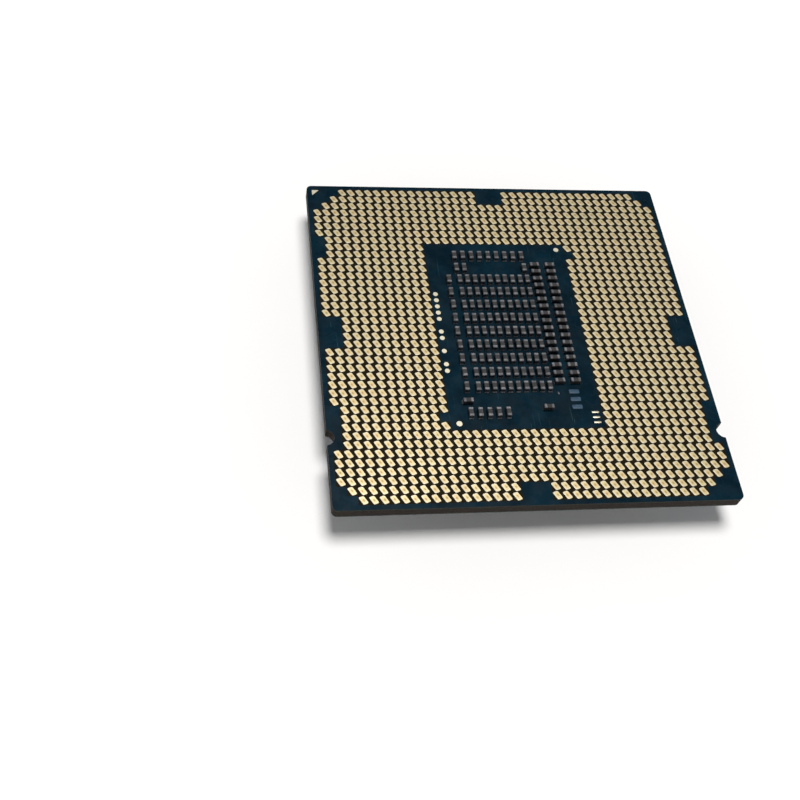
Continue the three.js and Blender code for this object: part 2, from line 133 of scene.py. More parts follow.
def tone(red, green, blue):
    """A colour given as it looks on a screen, 0 to 255, as the linear colour a shader takes."""
    screen = [value / 255 for value in (red, green, blue)]
    linear = [v / 12.92 if v < 0.04045 else ((v + 0.055) / 1.055) ** 2.4 for v in screen]
    return (*linear, 1.0)


class Finish:
    """A material, with a short way to add each kind of node that the finishes share."""

    def __init__(self, name, **sockets):
        self.material = bpy.data.materials.new(name)
        self.material.use_nodes = True
        self.tree = self.material.node_tree
        self.shader = self.tree.nodes["Principled BSDF"]
        for socket, value in sockets.items():
            self.shader.inputs[socket.replace("_", " ")].default_value = value
        self.metres = self.add("ShaderNodeTexCoord").outputs["Object"]
        self.mm = self.stretched((1, 1, 1))

    def add(self, kind, **inputs):
        """Adds a node and feeds its inputs."""
        node = self.tree.nodes.new(kind)
        for name, value in inputs.items():
            self.feed(node.inputs[name.replace("_", " ")], value)
        return node

    def feed(self, socket, value):
        """Links an output to a socket, or sets a plain value on it."""
        if isinstance(value, bpy.types.NodeSocket):
            self.tree.links.new(value, socket)
        else:
            socket.default_value = value

    def paint(self, **sockets):
        """Feeds the shader's own sockets."""
        for name, value in sockets.items():
            self.feed(self.shader.inputs[name.replace("_", " ")], value)

    def stretched(self, scale):
        """Object coordinates in millimetres, times a scale for each axis."""
        per_mm = [factor / MM for factor in scale]
        return self.add("ShaderNodeMapping", Vector=self.metres, Scale=per_mm).outputs[0]

    def noise(self, scale, detail=2.0, roughness=0.5, place=None, warp=0.0):
        """Cloudy grain of about 1/scale millimetres, from 0 to 1."""
        node = self.add("ShaderNodeTexNoise", Scale=scale, Detail=detail, Roughness=roughness)
        node.inputs["Distortion"].default_value = warp
        self.feed(node.inputs["Vector"], place or self.mm)
        return node.outputs[0]

    def between(self, value, low, high, start=0.0, end=1.0):
        """Turns a value that runs from low to high into one from start to end, smoothly."""
        node = self.add("ShaderNodeMapRange", Value=value)
        node.interpolation_type = "SMOOTHSTEP"
        ends = {"From Min": low, "From Max": high, "To Min": start, "To Max": end}
        for name, number in ends.items():
            node.inputs[name].default_value = number
        return node.outputs[0]

    def math(self, operation, first, second=0.0):
        """One sum on numbers."""
        node = self.add("ShaderNodeMath")
        node.operation = operation
        self.feed(node.inputs[0], first)
        self.feed(node.inputs[1], second)
        return node.outputs[0]

    def vector(self, operation, first, second=(0, 0, 0)):
        """One sum on places; a length comes back as a number."""
        node = self.add("ShaderNodeVectorMath")
        node.operation = operation
        self.feed(node.inputs[0], first)
        self.feed(node.inputs[1], second)
        return node.outputs["Value" if operation == "LENGTH" else "Vector"]

    def mix(self, share, first, second):
        """Goes from the first colour to the second as the share goes from 0 to 1."""
        node = self.add("ShaderNodeMix", Factor=share)
        node.data_type = "RGBA"
        self.feed(node.inputs[MIX_A], first)
        self.feed(node.inputs[MIX_B], second)
        return node.outputs[MIX_COLOUR]

    def bump(self, height, depth_mm, strength=1.0):
        """Relief of a depth in millimetres, drawn by a height from 0 to 1."""
        node = self.add("ShaderNodeBump", Height=height, Distance=depth_mm * MM)
        node.inputs["Strength"].default_value = strength
        self.feed(self.shader.inputs["Normal"], node.outputs[0])


print("helper ready: a finish measures its patterns in millimetres")

# %% [markdown]
# The floor is a pale matt sheet. It has the faintest grain, so that it isn't a dead flat tone.

# %% Floor finish
floor_sheet = Finish("floor_sheet", Roughness=0.9, Specular_IOR_Level=0.1)
floor_grain = floor_sheet.noise(0.02, detail=3)
floor_sheet.paint(Base_Color=floor_sheet.mix(floor_grain, tone(247, 247, 247), tone(251, 251, 251)))
floor.data.materials.append(floor_sheet.material)
print("floor finish:", floor_sheet.material.name)

# %% [markdown]
# Solder mask is a thin coloured lacquer over the resin. On this chip it is a very dark teal. The
# copper under it shows as faint lighter and darker patches, the surface has a fine orange peel,
# and handling leaves hairline scratches, here longer along Y. Three noises at three sizes make
# these: one for the patches, one for the peel, and one stretched thin for the scratches.

# %% Solder mask finish
MASK_DARK = tone(5, 26, 37)
MASK_LIGHT = tone(8, 37, 50)
MASK_SCRATCH = tone(50, 84, 92)


def mask_finish(name, dark, light):
    """Teal lacquer with patches of copper below it, orange peel and hairline scratches."""
    lacquer = Finish(name, Specular_IOR_Level=0.06)
    patches = lacquer.noise(0.35, detail=4, roughness=0.6)
    base = lacquer.mix(lacquer.between(patches, 0.35, 0.68), dark, light)
    hair = lacquer.noise(1.0, detail=1, place=lacquer.stretched((9.0, 0.22, 1.0)), warp=0.6)
    hair_line = lacquer.between(hair, 0.735, 0.765, 0.0, 0.5)
    lacquer.paint(Base_Color=lacquer.mix(hair_line, base, MASK_SCRATCH))
    smears = lacquer.noise(0.8, detail=3)
    lacquer.paint(Roughness=lacquer.between(smears, 0.3, 0.75, 0.22, 0.42))
    peel = lacquer.noise(7.0, detail=2)
    lacquer.bump(lacquer.mix(0.25, peel, hair_line), 0.012, 0.5)
    return lacquer.material


land_side_mask = mask_finish("mask_teal_land_side", MASK_DARK, MASK_LIGHT)
lid_side_mask = mask_finish("mask_teal_lid_side", tone(7, 34, 46), tone(11, 48, 62))
print("mask finishes:", land_side_mask.name, lid_side_mask.name)

# %% [markdown]
# The laminate's edge is a saw cut. The core is resin with layers of glass cloth, so its cut shows
# faint brown bands that run along the edge, with pale thread ends and dark pits. The build-up
# layers on both sides have no cloth. They are plain resin, a dull olive brown. Noise stretched
# along X and Y and squeezed along Z gives the bands, and a fine one gives the thread ends.

# %% Core and build-up finishes
cut_core = Finish("cut_glass_cloth_core", Specular_IOR_Level=0.2)
cloth = cut_core.noise(1.0, detail=3, place=cut_core.stretched((0.5, 0.5, 9.0)))
threads = cut_core.noise(1.0, detail=2, place=cut_core.stretched((9.0, 9.0, 16.0)))
core_brown = cut_core.mix(cut_core.between(cloth, 0.3, 0.7), tone(27, 20, 14), tone(40, 30, 21))
thread_ends = cut_core.between(threads, 0.6, 0.75, 0, 0.45)
core_brown = cut_core.mix(thread_ends, core_brown, tone(66, 55, 40))
saw_pits = cut_core.between(threads, 0.38, 0.28, 0, 0.6)
cut_core.paint(Base_Color=cut_core.mix(saw_pits, core_brown, tone(17, 12, 8)))
cut_core.paint(Roughness=cut_core.between(threads, 0.2, 0.8, 0.95, 0.6))
cut_core.bump(cut_core.mix(0.6, cloth, threads), 0.03, 0.8)

buildup = Finish("buildup_resin", Specular_IOR_Level=0.2)
resin_cloud = buildup.noise(1.0, detail=4, place=buildup.stretched((0.6, 0.6, 5.0)))
saw_marks = buildup.noise(1.0, detail=2, place=buildup.stretched((12.0, 12.0, 2.0)))
buildup_tone = buildup.mix(resin_cloud, tone(27, 31, 24), tone(42, 42, 31))
deep_marks = buildup.between(saw_marks, 0.5, 0.8, 0, 0.5)
buildup.paint(Base_Color=buildup.mix(deep_marks, buildup_tone, tone(24, 30, 26)))
buildup.paint(Roughness=buildup.between(saw_marks, 0.2, 0.8, 0.55, 0.85))
buildup.bump(saw_marks, 0.015, 0.6)
print("edge finishes:", cut_core.material.name, buildup.material.name)

# %% [markdown]
# The lands are copper pads plated with nickel and a little gold. The plating is satin, with a fine
# grain, and no two lands are quite the same tone. Where the socket's spring has wiped a land there
# is a small brown oval in its middle. A paler rim round each land is a painted highlight, where the
# edge would catch the lamp. The pattern repeats with the lands, so the coordinates are folded into
# one land's cell: the whole number of the cell gives its tone, and the rest gives the place on the
# land.

# %% Gold finishes
PITCH = 0.9144 * MM
LAND_LONG = 0.85 * MM
LAND_SHORT = 0.51 * MM
LAND_LEAN = math.radians(-60)
WIPE_LONG = 0.17
WIPE_SHORT = 0.105
WIPE_SPREAD = 0.08
WIPE_SHARE = 0.75
# This first tone is the pads' pale gold, and also the painted highlight on each land's rim.
GOLD_PAD_AND_RIM_HIGHLIGHT = tone(193, 187, 167)
GOLD_FLAT = tone(186, 172, 131)
GOLD_WARM = tone(186, 164, 119)
GOLD_PALE = tone(202, 196, 177)
GOLD_WIPED = tone(124, 112, 78)
GOLD_WORN = tone(146, 112, 76)
far_low, far_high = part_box("land_field_far")
near_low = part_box("land_field_near")[0]


def satin_plating(gold, even, cloudy):
    """Gives a gold finish the grain, clouds and uneven shine of satin plating."""
    grain = gold.noise(22.0, detail=3)
    clouds = gold.noise(0.55, detail=3)
    gold.paint(Roughness=gold.between(gold.mix(0.5, grain, clouds), 0.3, 0.7, 0.43, 0.56))
    gold.bump(grain, 0.004, 0.6)
    return gold.mix(gold.between(clouds, 0.3, 0.7, 0.0, 0.5), even, cloudy)


def leaning(gold, place, long, short):
    """Distance from the middle of a land in a leaning oval's measure: 1 on the oval's line."""
    oval = gold.add("ShaderNodeMapping", Vector=place, Rotation=(0, 0, LAND_LEAN), Scale=(long, short, 1))
    oval.vector_type = "TEXTURE"
    return gold.vector("LENGTH", oval.outputs[0])


land_gold = Finish("land_gold", Metallic=1.0)
per_cell = [1 / PITCH, 1 / PITCH, 1 / MM]
cell_corner = (-far_low.x / PITCH, -near_low.y / PITCH, 0)
cells = land_gold.add("ShaderNodeMapping", Vector=land_gold.metres, Scale=per_cell, Location=cell_corner)
cell_number = land_gold.vector("MULTIPLY", land_gold.vector("FLOOR", cells.outputs[0]), (1, 1, 0))
luck = land_gold.add("ShaderNodeTexWhiteNoise", Vector=cell_number)
on_land = land_gold.vector("SUBTRACT", land_gold.vector("FRACTION", cells.outputs[0]), (0.5, 0.5, 0))
on_land = land_gold.vector("MULTIPLY", on_land, (1, 1, 0))
nudge = land_gold.vector("SUBTRACT", luck.outputs["Color"], (0.5, 0.5, 0.5))
nudge = land_gold.vector("MULTIPLY", nudge, (WIPE_SPREAD, WIPE_SPREAD, 0))
from_wipe = leaning(land_gold, land_gold.vector("ADD", on_land, nudge), WIPE_LONG, WIPE_SHORT)
from_middle = leaning(land_gold, on_land, LAND_LONG / PITCH / 2, LAND_SHORT / PITCH / 2)
plated = satin_plating(land_gold, GOLD_FLAT, GOLD_WARM)
plated = land_gold.mix(land_gold.math("MULTIPLY", luck.outputs["Value"], 0.45), plated, GOLD_WARM)
# Painted highlight: each land turns paler towards its rim, where the edge would catch the lamp.
plated = land_gold.mix(land_gold.between(from_middle, 0.55, 1.0, 0, 0.8), plated, GOLD_PAD_AND_RIM_HIGHLIGHT)
wiped = land_gold.mix(luck.outputs["Value"], GOLD_WIPED, GOLD_WORN)
plated = land_gold.mix(land_gold.between(from_wipe, 1.25, 0.45, 0, WIPE_SHARE), plated, wiped)
land_gold.paint(Base_Color=plated)

pad_gold = Finish("pad_gold", Metallic=1.0)
pad_gold.paint(Base_Color=satin_plating(pad_gold, GOLD_PAD_AND_RIM_HIGHLIGHT, GOLD_PALE))
print("gold finishes:", land_gold.material.name, pad_gold.material.name)

# %% [markdown]
# Between the close-set lands the mask looks nearly black, from shade. That shade is painted with a
# matt finish, nearly black with a trace of brown.

# %% Painted shade finish
# Painted shade: this nearly black matt finish stands for the shade between the close-set lands.
lands_painted_shade = Finish("lands_painted_shade", Specular_IOR_Level=0.08, Roughness=0.75)
shade_mottle = lands_painted_shade.noise(4.0, detail=3)
lands_painted_shade.paint(Base_Color=lands_painted_shade.mix(shade_mottle, tone(15, 11, 3), tone(38, 30, 10)))
lands_painted_shade.bump(lands_painted_shade.noise(14.0), 0.01, 0.6)
print("bare resin finish:", lands_painted_shade.material.name)

# %% [markdown]
# A chip capacitor is a block of fired ceramic, grey brown and slightly rough, with tinned ends.
# The tin is dull and a little pitted, and the solder that holds it is brighter. Ceramic and tin
# are two finishes, given to different faces of the same piece.

# %% Capacitor finishes
ceramic = Finish("capacitor_ceramic", Specular_IOR_Level=0.35)
fired = ceramic.noise(1.3, detail=2)
speckle = ceramic.noise(30.0, detail=2)
ceramic_tone = ceramic.mix(ceramic.between(fired, 0.3, 0.7), tone(27, 26, 29), tone(42, 40, 41))
pale_specks = ceramic.between(speckle, 0.55, 0.75, 0, 0.5)
ceramic.paint(Base_Color=ceramic.mix(pale_specks, ceramic_tone, tone(66, 62, 61)))
ceramic.paint(Roughness=ceramic.between(speckle, 0.3, 0.7, 0.42, 0.62))
ceramic.bump(speckle, 0.006, 0.6)

tin = Finish("tinned_end", Metallic=1.0)
pits = tin.noise(18.0, detail=3)
dull = tin.noise(2.2, detail=2)
tin.paint(Base_Color=tin.mix(tin.between(dull, 0.3, 0.7), tone(82, 82, 85), tone(118, 118, 121)))
tin.paint(Roughness=tin.between(pits, 0.3, 0.7, 0.38, 0.6))
tin.bump(pits, 0.006, 0.7)
print("capacitor finishes:", ceramic.material.name, tin.material.name)

# %% [markdown]
# The lid is copper plated with nickel. Its broad faces are blasted, which leaves a fine even grain
# with faint cloudy patches. The stamped sides are smoother and carry draw lines along Z.

# %% Nickel finishes
blasted = Finish("nickel_blasted", Metallic=1.0)
shot = blasted.noise(14.0, detail=3, roughness=0.6)
haze = blasted.between(blasted.noise(0.12, detail=3), 0.3, 0.7)
blasted.paint(Base_Color=blasted.mix(haze, tone(176, 177, 181), tone(198, 198, 200)))
blasted.paint(Roughness=blasted.between(shot, 0.25, 0.75, 0.38, 0.56))
blasted.bump(shot, 0.02, 0.7)

drawn = Finish("nickel_drawn", Metallic=1.0)
draw_lines = drawn.noise(1.0, detail=3, place=drawn.stretched((16.0, 16.0, 0.9)))
drawn.paint(Base_Color=drawn.mix(draw_lines, tone(160, 160, 162), tone(188, 188, 188)))
drawn.paint(Roughness=drawn.between(draw_lines, 0.3, 0.7, 0.34, 0.46))
drawn.bump(draw_lines, 0.003, 0.5)
print("nickel finishes:", blasted.material.name, drawn.material.name)

# %% [markdown]
# The remaining finishes are for what is hidden or small: the rubbery sealant, the silicon die, the
# grey solder bumps, the dark underfill, the grey paste, and the patch of black ink.

# %% Small finishes


def plain_finish(name, dark, light, grain, relief_mm, rough_low, rough_high, **sockets):
    """Two tones, an uneven shine and a relief, all from one grain in 1/mm."""
    made = Finish(name, **sockets)
    pattern = made.noise(grain, detail=3)
    made.paint(Base_Color=made.mix(made.between(pattern, 0.3, 0.7), tone(*dark), tone(*light)))
    made.paint(Roughness=made.between(pattern, 0.3, 0.7, rough_low, rough_high))
    made.bump(pattern, relief_mm, 0.6)
    return made.material


sealant_rubber = plain_finish("sealant_rubber", (14, 14, 16), (30, 30, 33), 2.5, 0.02, 0.45, 0.7)
silicon = plain_finish("silicon", (54, 58, 68), (74, 78, 88), 0.4, 0.001, 0.1, 0.2, Metallic=0.6)
bump_solder = plain_finish(
    "bump_solder", (120, 122, 126), (168, 170, 172), 5.0, 0.02, 0.35, 0.6, Metallic=1.0
)
underfill = plain_finish("underfill_resin", (22, 25, 32), (38, 42, 50), 1.5, 0.01, 0.3, 0.5)
paste = plain_finish("thermal_paste", (138, 140, 142), (166, 167, 168), 2.0, 0.015, 0.55, 0.8)
ink = plain_finish("black_ink", (7, 8, 9), (20, 21, 23), 3.0, 0.004, 0.35, 0.6)
covered = plain_finish(
    "mask_over_copper", (40, 64, 83), (56, 82, 103), 3.0, 0.008, 0.4, 0.6, Specular_IOR_Level=0.2
)
print("small finishes:", [m.name for m in bpy.data.materials][-7:])

# %% [markdown]
# The five layers of the laminate have the right shape already, as have the die and what holds it,
# the ink and the two corner triangles. They stay, and only their material changes.

# %% Finishes for the CAD pieces that stay
kept = {
    "solder_mask_land_side": land_side_mask,
    "solder_mask_lid_side": lid_side_mask,
    "buildup_layers_land_side": buildup.material,
    "buildup_layers_lid_side": buildup.material,
    "laminate_core": cut_core.material,
    "silicon_die": silicon,
    "solder_bump_field": bump_solder,
    "die_underfill": underfill,
    "thermal_interface_paste": paste,
    "ink_patch_lid_side": ink,
    "pin_1_mark_land_side": pad_gold.material,
    "pin_1_mark_lid_side": pad_gold.material,
}
for name, material in kept.items():
    nodes[name].data.materials.clear()
    nodes[name].data.materials.append(material)
print("CAD pieces with a new finish:", len(kept))

# %% [markdown]
# New pieces are modelled as by hand: add a primitive, open edit mode, pick faces, edges or corner
# points, and use one tool. Picking is done in code, by a test on the place and the direction of
# each. The helpers below open a piece, pick on it, close it, and put a finished piece in its CAD
# body. Everything is deselected first, because a tool acts on all that is selected.

# %% Picking and finishing
PICK_MODES = {"VERT": (True, False, False), "EDGE": (False, True, False), "FACE": (False, False, True)}
TOUCH = 0.002 * MM


def alone(piece):
    """Makes a piece the only selected one, in object mode."""
    if bpy.context.object and bpy.context.object.mode != "OBJECT":
        bpy.ops.object.mode_set(mode="OBJECT")
    bpy.ops.object.select_all(action="DESELECT")
    bpy.context.view_layer.objects.active = piece
    piece.select_set(True)


def pick(piece, kind, test):
    """Opens edit mode with the parts picked for which test(place, direction) holds."""
    alone(piece)
    mesh = piece.data
    points = mesh.vertices
    for group in (points, mesh.edges, mesh.polygons):
        group.foreach_set("select", [False] * len(group))
    bpy.context.tool_settings.mesh_select_mode = PICK_MODES[kind]
    if kind == "VERT":
        found = [v for v in points if test(v.co, v.normal)]
    elif kind == "FACE":
        found = [f for f in mesh.polygons if test(f.center, f.normal)]
    else:
        ends = [(e, points[e.vertices[0]].co, points[e.vertices[1]].co) for e in mesh.edges]
        found = [e for e, a, b in ends if test((a + b) / 2, (b - a).normalized())]
    for part in found:
        part.select = True
    bpy.ops.object.mode_set(mode="EDIT")
    return len(found)


def everything(place, direction):
    return True


def upright(place, direction):
    return abs(direction.z) > 0.99


def placed(piece):
    """Puts a piece's place, turn and size into its mesh."""
    alone(piece)
    bpy.ops.object.transform_apply(location=True, rotation=True, scale=True)
    return piece


def block(name, low, high):
    """A block between two corners."""
    bpy.ops.object.select_all(action="DESELECT")
    middle = [(a + b) / 2 for a, b in zip(low, high)]
    size = [b - a for a, b in zip(low, high)]
    bpy.ops.mesh.primitive_cube_add(size=1, location=middle, scale=size)
    bpy.context.object.name = name
    return placed(bpy.context.object)


def round_off(piece, kind, test, radius, steps):
    """Rounds off the picked edges of a piece."""
    pick(piece, kind, test)
    bpy.ops.mesh.bevel(offset=radius, segments=steps, affect="EDGES", profile=0.5)
    bpy.ops.object.mode_set(mode="OBJECT")


def with_modifier(piece, kind, **settings):
    """Adds a modifier, sets it and applies it."""
    alone(piece)
    modifier = piece.modifiers.new(kind.lower(), kind)
    for name, value in settings.items():
        setattr(modifier, name, value)
    bpy.ops.object.modifier_apply(modifier=modifier.name)


def cut_across(piece, place, normal):
    """Adds an edge loop where a plane crosses the piece."""
    pick(piece, "FACE", everything)
    bpy.ops.mesh.bisect(plane_co=place, plane_no=normal)
    bpy.ops.object.mode_set(mode="OBJECT")


def finished(piece, name, slot, replaced, *materials, smooth=30):
    """Merges doubles, turns the faces outwards, and puts the piece in the CAD body."""
    pick(piece, "FACE", everything)
    bpy.ops.mesh.remove_doubles(threshold=0.0005 * MM)
    bpy.ops.mesh.normals_make_consistent(inside=False)
    bpy.ops.object.mode_set(mode="OBJECT")
    bpy.ops.object.shade_smooth_by_angle(angle=math.radians(smooth))
    piece.name = name
    piece.data.name = name
    for material in materials:
        if material.name not in piece.data.materials:
            piece.data.materials.append(material)
    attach(piece, "root")
    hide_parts(*replaced)
    print(f"{name}: {len(piece.data.polygons)} faces")
    return piece


def copy_to(model, offset, turn=0.0):
    """A copy with its own mesh, turned about Z and then moved."""
    copy = model.copy()
    copy.data = model.data.copy()
    bpy.context.scene.collection.objects.link(copy)
    copy.rotation_euler.z = turn
    copy.location = offset
    return copy


def joined(copies):
    """Makes one piece of several, with its place in its mesh."""
    bpy.ops.object.select_all(action="DESELECT")
    for copy in copies:
        copy.select_set(True)
    bpy.context.view_layer.objects.active = copies[0]
    bpy.ops.object.transform_apply(location=True, rotation=True, scale=True)
    if len(copies) > 1:
        bpy.ops.object.join()
    return bpy.context.object


def thrown_away(*models):
    """Removes the models that were only needed for copying or cutting."""
    for model in models:
        bpy.data.objects.remove(model)


print("modelling helpers ready")

# %% [markdown]
# The lid is stamped: a thick square plateau that meets the cooler, and round it a thinner flange
# with an ear on each side for the socket's load plate, and a recess in the near and far edges. It
# could be one extruded outline, but the plateau and the flange have different outlines, so they
# are two blocks, made one by a Boolean. A third block takes out the hollow for the die.

# %% Lid blocks
lid_low, lid_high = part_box("heat_spreader_lid")
lid_middle_y = (lid_low.y + lid_high.y) / 2
SHOULDER = 2.05 * MM
CEILING = 2.31 * MM
PLATEAU = (14.45 * MM, 14.50 * MM)
FLANGE = (15.30 * MM, 16.15 * MM)
EAR_LENGTH = 7.6 * MM
EAR_REACH = lid_high.x - FLANGE[0]
RECESS_WIDTH = 4.4 * MM
RECESS_DEPTH = 1.5 * MM
SLOPE = 0.9 * MM
HOLLOW = (12.9 * MM, 12.6 * MM)
PLATEAU_CORNER = 1.4 * MM
FLANGE_CORNER = 1.2 * MM
HOLLOW_CORNER = 2.0 * MM
PLATEAU_LIP = 0.28 * MM
OVERLAP = 0.2 * MM
CLEAR = 1 * MM


def centred_block(name, half, low_z, high_z, corner, steps):
    """A block round the lid's middle, with rounded upright edges."""
    low = (-half[0], lid_middle_y - half[1], low_z)
    high = (half[0], lid_middle_y + half[1], high_z)
    made = block(name, low, high)
    round_off(made, "EDGE", upright, corner, steps)
    return made


plateau = centred_block("plateau", PLATEAU, lid_low.z, SHOULDER + OVERLAP, PLATEAU_CORNER, 8)
flange = centred_block("flange", FLANGE, SHOULDER, lid_high.z, FLANGE_CORNER, 6)
hollow = centred_block("hollow", HOLLOW, CEILING, lid_high.z + CLEAR, HOLLOW_CORNER, 8)
for along in (-EAR_LENGTH - SLOPE, -EAR_LENGTH, EAR_LENGTH, EAR_LENGTH + SLOPE):
    cut_across(flange, (0, lid_middle_y + along, 0), (0, 1, 0))
for along in (-RECESS_WIDTH - SLOPE, -RECESS_WIDTH, RECESS_WIDTH, RECESS_WIDTH + SLOPE):
    cut_across(flange, (along, 0, 0), (1, 0, 0))
for side in (-1, 1):
    pick(
        flange,
        "VERT",
        lambda p, n: p.x * side > FLANGE[0] - TOUCH and abs(p.y - lid_middle_y) < EAR_LENGTH + TOUCH,
    )
    bpy.ops.transform.translate(value=(side * EAR_REACH, 0, 0))
    pick(
        flange,
        "VERT",
        lambda p, n: (p.y - lid_middle_y) * side > FLANGE[1] - TOUCH and abs(p.x) < RECESS_WIDTH + TOUCH,
    )
    bpy.ops.transform.translate(value=(0, -side * RECESS_DEPTH, 0))
round_off(plateau, "EDGE", lambda p, d: p.z < lid_low.z + TOUCH, PLATEAU_LIP, 3)
print("lid blocks:", plateau.name, flange.name, hollow.name)

# %% [markdown]
# The Boolean leaves sharp edges that no stamped plate has. A Bevel modifier with an angle limit
# rounds them all a little, the inner corner under the plateau too. The broad faces get the blasted
# finish, and the walls the drawn one.

# %% Lid in one
with_modifier(flange, "BOOLEAN", operation="UNION", object=plateau, solver="EXACT")
with_modifier(flange, "BOOLEAN", operation="DIFFERENCE", object=hollow, solver="EXACT")
STAMPED_EDGE = 0.1 * MM
SHARP = math.radians(40)
with_modifier(flange, "BEVEL", width=STAMPED_EDGE, segments=2, limit_method="ANGLE", angle_limit=SHARP)
thrown_away(plateau, hollow)
flange.data.materials.append(blasted.material)
flange.data.materials.append(drawn.material)
for face in flange.data.polygons:
    face.material_index = 0 if abs(face.normal.z) > 0.5 else 1
finished(flange, "stamped_lid", "lid_nickel", ["heat_spreader_lid"])

# %% [markdown]
# A bead of silicone holds the lid. It is laid as one string, pressed flat, and left open at one
# place so that the hollow can breathe. A rounded block is inset from both faces, its middle is
# taken out, and the two edges that are left are bridged. A Displace modifier then makes the string
# wander a little, as a dispenser does.

# %% Sealant bead
bead_low, bead_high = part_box("lid_sealant_bead")
BEAD_WIDTH = 1.25 * MM
BEAD_CORNER = 2.2 * MM
VENT = 1.5 * MM
WANDER = 0.16 * MM
bead = block("bead", bead_low, bead_high)
round_off(bead, "EDGE", upright, BEAD_CORNER, 8)
pick(bead, "FACE", lambda p, n: abs(n.z) > 0.99)
bpy.ops.mesh.inset(thickness=BEAD_WIDTH, use_individual=True)
bpy.ops.mesh.delete(type="FACE")
bead_middle = (bead_low + bead_high) / 2
inner_x = bead_high.x - BEAD_WIDTH
inner_y = bead_high.y - bead_middle.y - BEAD_WIDTH


def on_inner_rim(place, direction):
    inside = abs(place.x) < inner_x + TOUCH and abs(place.y - bead_middle.y) < inner_y + TOUCH
    return inside and abs(direction.z) < 0.5


pick(bead, "EDGE", on_inner_rim)
bpy.ops.mesh.bridge_edge_loops()
for along in (-VENT, VENT):
    cut_across(bead, (along, 0, 0), (1, 0, 0))
pick(bead, "FACE", lambda p, n: abs(p.x) < VENT and p.y < 0)
bpy.ops.mesh.delete(type="FACE")
for side in (-1, 1):
    pick(bead, "EDGE", lambda p, d: abs(p.x - side * VENT) < TOUCH and p.y < 0 and abs(d.x) < 0.5)
    bpy.ops.mesh.edge_face_add()
pick(bead, "EDGE", lambda p, d: abs(d.z) < 0.5)
bpy.ops.mesh.subdivide(number_cuts=3)
bpy.ops.object.mode_set(mode="OBJECT")
wander = bpy.data.textures.new("bead_wander", "CLOUDS")
wander.noise_scale = 2.4 * MM
for axis in ("X", "Y"):
    with_modifier(bead, "DISPLACE", texture=wander, direction=axis, strength=WANDER)
finished(bead, "silicone_bead", "silicone_sealant", ["lid_sealant_bead"], sealant_rubber)

# %% [markdown]
# Each land is a small pad that leans, so that a spring can wipe along it. It is modelled once,
# from a turned plane. The two long edges slide along themselves in opposite ways, which slants
# the short ones. Then the corners are bevelled, and the face is drawn up to its thickness and
# given a chamfered rim. There are more than a thousand lands, so one has only a few dozen faces.

# %% One land
LAND_CORNER = 0.13 * MM
LAND_SLANT = 0.05 * MM
LAND_FOOT = near_low.z
LAND_RISE = LAND_TOP - LAND_FOOT
CHAMFER = 0.012 * MM
CHAMFER_WIDTH = 0.03 * MM
bpy.ops.object.select_all(action="DESELECT")
bpy.ops.mesh.primitive_plane_add(size=1, location=(0, 0, LAND_FOOT), rotation=(0, 0, LAND_LEAN))
land = bpy.context.object
land.scale = (LAND_LONG, LAND_SHORT, 1)
placed(land)
along = Vector((math.cos(LAND_LEAN), math.sin(LAND_LEAN), 0))
across = Vector((-along.y, along.x, 0))
for side in (-1, 1):
    pick(land, "VERT", lambda p, n: across.dot(p) * side > 0)
    bpy.ops.transform.translate(value=along * side * LAND_SLANT)
pick(land, "VERT", everything)
bpy.ops.mesh.bevel(offset=LAND_CORNER, segments=3, affect="VERTICES")
bpy.ops.mesh.select_all(action="SELECT")
bpy.ops.mesh.extrude_region_move(TRANSFORM_OT_translate={"value": (0, 0, LAND_RISE - CHAMFER)})
bpy.ops.object.mode_set(mode="OBJECT")
pick(land, "FACE", lambda p, n: p.z > LAND_TOP - CHAMFER - TOUCH and abs(n.z) > 0.99)
bpy.ops.mesh.inset(thickness=CHAMFER_WIDTH, depth=CHAMFER)
bpy.ops.object.mode_set(mode="OBJECT")
print("faces of one land:", len(land.data.polygons))

# %% [markdown]
# The lands stand on a square grid, in four fields round the window of bare mask. Each field is one
# plate in the CAD, cut to the outline of its cells. The places could be listed by hand, but a ray
# shot down at the middle of each cell tells whether the plate is there, so the plate itself is the
# list. The one land is copied to each place, and the copies of a field become one piece.

# %% The four fields of lands
cell_count = round((far_high.x - far_low.x) / PITCH)
ABOVE = Vector((0, 0, 1 * MM))
DOWN = Vector((0, 0, -1))


def land_places(field):
    """The middles of the cells that a CAD field of lands covers."""
    places = []
    for row in range(cell_count):
        for column in range(cell_count):
            x = far_low.x + (column + 0.5) * PITCH
            y = near_low.y + (row + 0.5) * PITCH
            start = Vector((x, y, LAND_TOP)) + ABOVE
            if nodes[field].ray_cast(start, DOWN, distance=2 * ABOVE.z)[0]:
                places.append(Vector((x, y, 0)))
    return places


all_lands = []
for side in ("far", "left", "right", "near"):
    places = land_places("land_field_" + side)
    lands = joined([copy_to(land, place) for place in places])
    name = "lands_" + side
    finished(lands, name, "land_gold", ["land_field_" + side], land_gold.material, smooth=12)
    all_lands += places
thrown_away(land)
print("lands:", len(all_lands))

# %% [markdown]
# Between and round the close-set lands the mask falls into shade, and that shade is painted as one
# dark sheet with the stepped outline of the fields. A grid plane with one face for each cell gives
# that outline at once: the faces without a land are deleted, and the rest is drawn up by a few
# thousandths of a millimetre so that it covers the mask.

# %% Sheet of painted shade between the lands
SHADE_SHEET_RISE = 0.006 * MM
bpy.ops.object.select_all(action="DESELECT")
middle_y = (far_high.y + near_low.y) / 2
bpy.ops.mesh.primitive_grid_add(
    x_subdivisions=cell_count,
    y_subdivisions=cell_count,
    size=cell_count * PITCH,
    location=(0, middle_y, LAND_FOOT),
)
